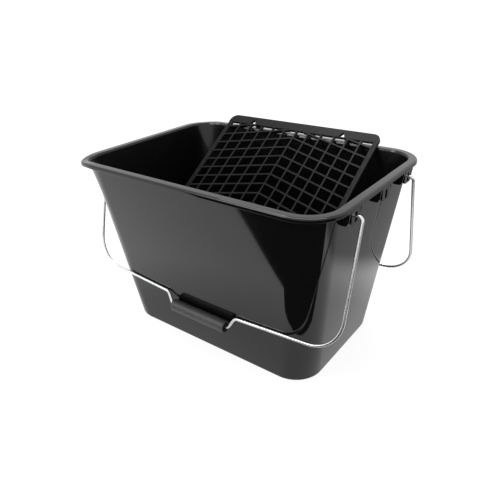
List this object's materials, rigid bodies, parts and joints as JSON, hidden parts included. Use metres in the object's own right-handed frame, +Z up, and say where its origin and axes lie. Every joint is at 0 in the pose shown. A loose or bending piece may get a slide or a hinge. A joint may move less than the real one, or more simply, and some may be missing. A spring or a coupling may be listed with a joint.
{
  "type": "wash bucket",
  "caption": "Tapered rectangular wash bucket with pouring corners, a lift-out wringing sieve hooked over the rear rim, and wire bails with tube grips that swing on the end ears.",
  "frame": {"origin": "middle of the underside, where the crossed foot ribs meet, on the surface the bucket stands on", "axes": "+X along the long side, +Y to the rear where the sieve hooks on, +Z up"},
  "size_m": [0.4182, 0.2873, 0.2684],
  "materials": {
    "bucket_plastic": "glossy black injection-moulded plastic",
    "sieve_plastic": "satin black moulded plastic",
    "bail_wire": "bright zinc-plated steel wire",
    "grip_plastic": "satin black plastic tube"
  },
  "bodies": {
    "bucket": {"bucket": "bucket_plastic"},
    "sieve": {"sieve": "sieve_plastic"},
    "front_bail": {"front_bail": "bail_wire"},
    "rear_bail": {"rear_bail": "bail_wire"},
    "front_grip": {"front_grip": "grip_plastic"},
    "rear_grip": {"rear_grip": "grip_plastic"}
  },
  "joints": [
    {"name": "front_bail_swing", "type": "hinge", "parent": "bucket", "child": "front_bail", "pos_m": [0, -0.074, 0.2405], "axis": [-1, 0, 0], "range_deg": [0, 186]},
    {"name": "rear_bail_swing", "type": "hinge", "parent": "bucket", "child": "rear_bail", "pos_m": [0, 0.074, 0.2405], "axis": [1, 0, 0], "range_deg": [0, 186]},
    {"name": "front_grip_spin", "type": "hinge", "parent": "front_bail", "child": "front_grip", "pos_m": [0, -0.11844, 0.06092], "axis": [1, 0, 0], "continuous": true},
    {"name": "rear_grip_spin", "type": "hinge", "parent": "rear_bail", "child": "rear_grip", "pos_m": [0, 0.11844, 0.06092], "axis": [1, 0, 0], "continuous": true},
    {"name": "sieve_lift", "type": "slide", "parent": "bucket", "child": "sieve", "axis": [0, 0, 1], "range_m": [0, 0.16]}
  ]
}
